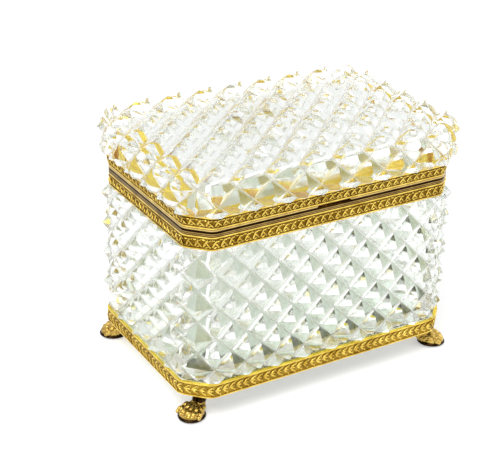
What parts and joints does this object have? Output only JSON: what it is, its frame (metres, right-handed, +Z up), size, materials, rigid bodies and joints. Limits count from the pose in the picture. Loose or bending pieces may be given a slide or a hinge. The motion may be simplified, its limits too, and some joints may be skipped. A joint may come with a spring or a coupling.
{
  "type": "cut glass casket box",
  "caption": "Oblong casket of diamond-cut clear crystal with cut corners, gilt bands, lion-paw feet and a lid hinged along the back.",
  "frame": {"origin": "on the table under the middle of the casket, level with the soles of the four feet", "axes": "+Z up; +X to the right along the long front; the front looks along -Y and the hinge is at +Y"},
  "size_m": [0.1656, 0.1086, 0.1269],
  "materials": {
    "crystal": "clear lead crystal, diamond cut and polished",
    "gilt": "gilt brass, embossed and lightly patinated",
    "gilt_worn": "brass worn dull"
  },
  "bodies": {
    "box": {"body_glass": "crystal", "rim_frame": "gilt", "rim_band": "gilt", "body_collar": "gilt", "base_tray": "gilt", "base_band": "gilt", "foot_front_left": "gilt", "foot_front_right": "gilt", "foot_rear_left": "gilt", "foot_rear_right": "gilt", "hinge_body_leaf": "gilt_worn", "hinge_pin": "gilt_worn"},
    "lid": {"lid_glass": "crystal", "lid_frame": "gilt", "lid_band": "gilt", "lid_collar": "gilt", "hinge_lid_leaf": "gilt_worn"}
  },
  "joints": [
    {"name": "lid_hinge", "type": "hinge", "parent": "box", "child": "lid", "pos_m": [0, 0.0514, 0.0987], "axis": [-1, 0, 0], "range_deg": [0, 100]}
  ]
}
